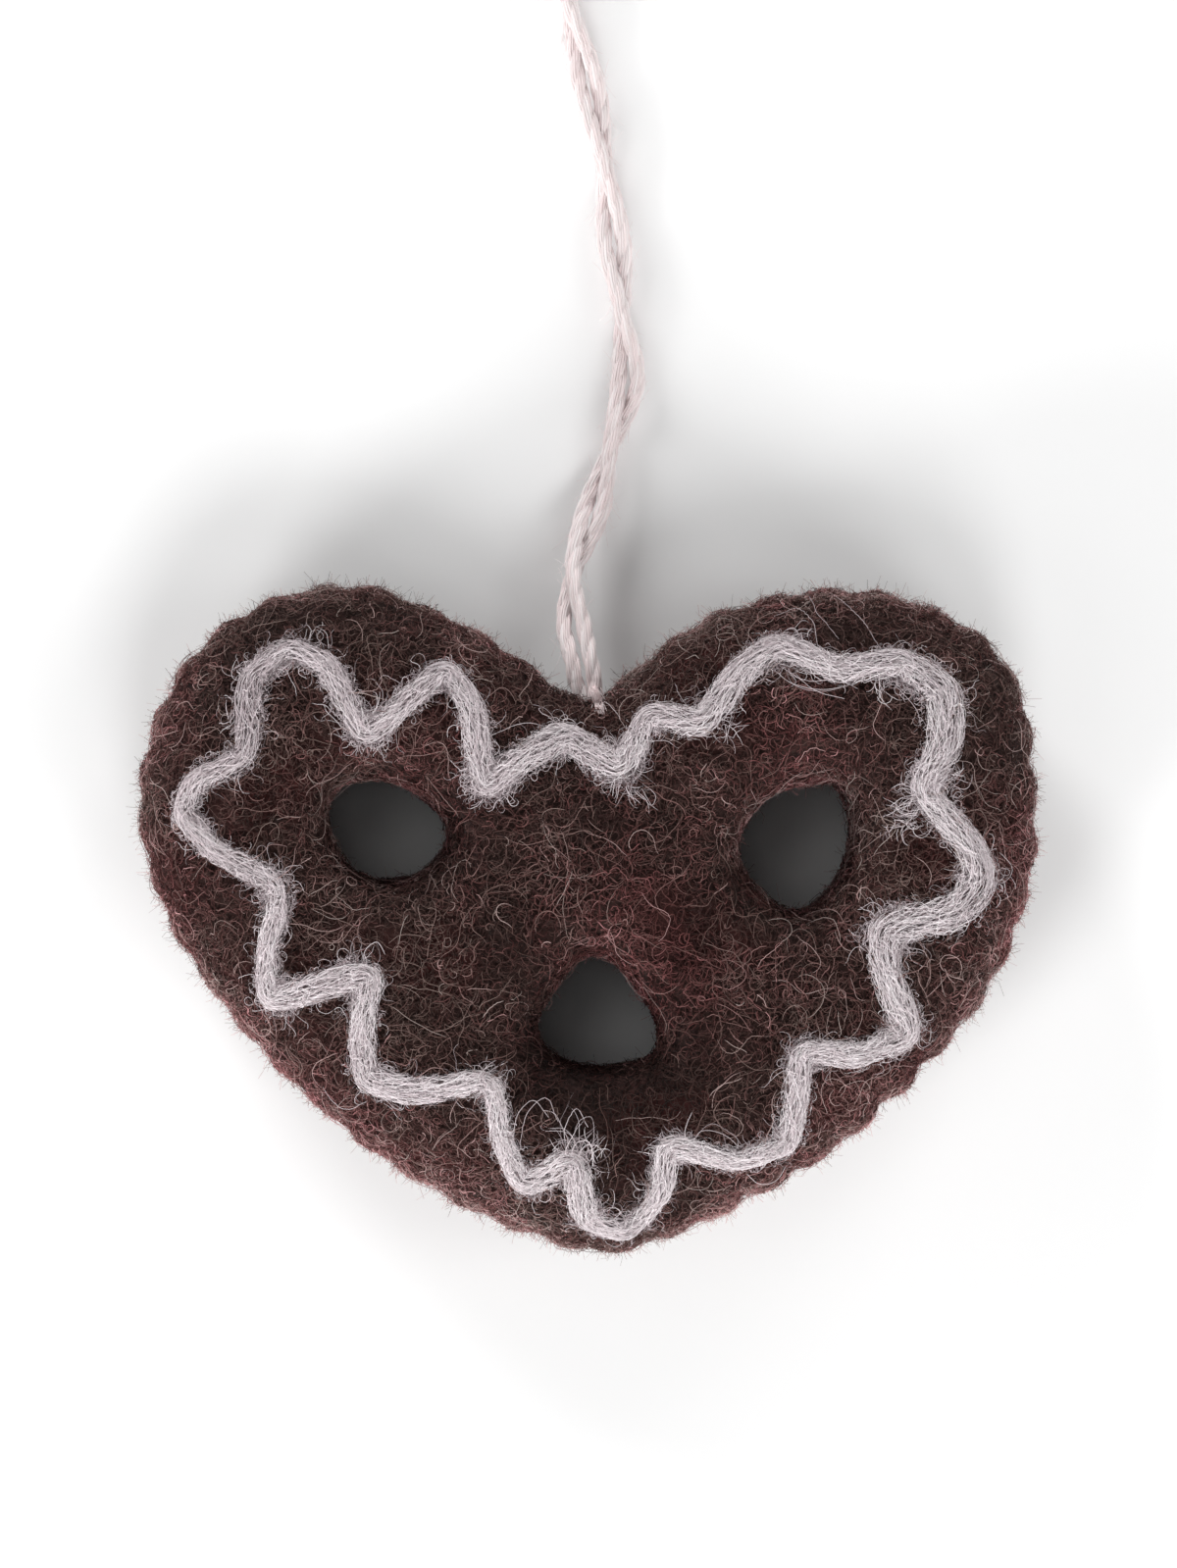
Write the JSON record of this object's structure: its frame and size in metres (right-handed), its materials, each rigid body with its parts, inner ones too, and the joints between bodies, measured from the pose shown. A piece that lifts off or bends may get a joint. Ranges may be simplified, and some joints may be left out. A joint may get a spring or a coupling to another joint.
{
  "type": "felt heart ornament",
  "caption": "Stuffed brown felt heart with open holes and a pale zigzag of roving, on a twisted string loop to hang it by.",
  "frame": {"origin": "the middle of the heart's own box, on the flat of its back, without the string loop", "axes": "+X to the heart's right as its front is looked at, +Y to its lobes and the string loop, +Z out of its front"},
  "size_m": [0.0788, 0.1398, 0.0187],
  "materials": {
    "front_felt": "matte",
    "back_felt": "matte",
    "filling": "matte",
    "thread": "matte",
    "icing": "matte",
    "string": "matte"
  },
  "bodies": {
    "heart": {"felt_front": "front_felt", "felt_back": "back_felt", "wool_filling": "filling", "hole_thread_left": "thread", "hole_thread_right": "thread", "hole_thread_bottom": "thread", "edge_thread": "thread", "icing_line": "icing", "string_knot": "string"},
    "loop": {"hanging_loop": "string"}
  },
  "joints": [
    {"name": "loop_swing", "type": "hinge", "parent": "heart", "child": "loop", "pos_m": [-0.00018, 0.0215, 0.0085], "axis": [1, 0, 0], "range_deg": [0, 90]}
  ]
}
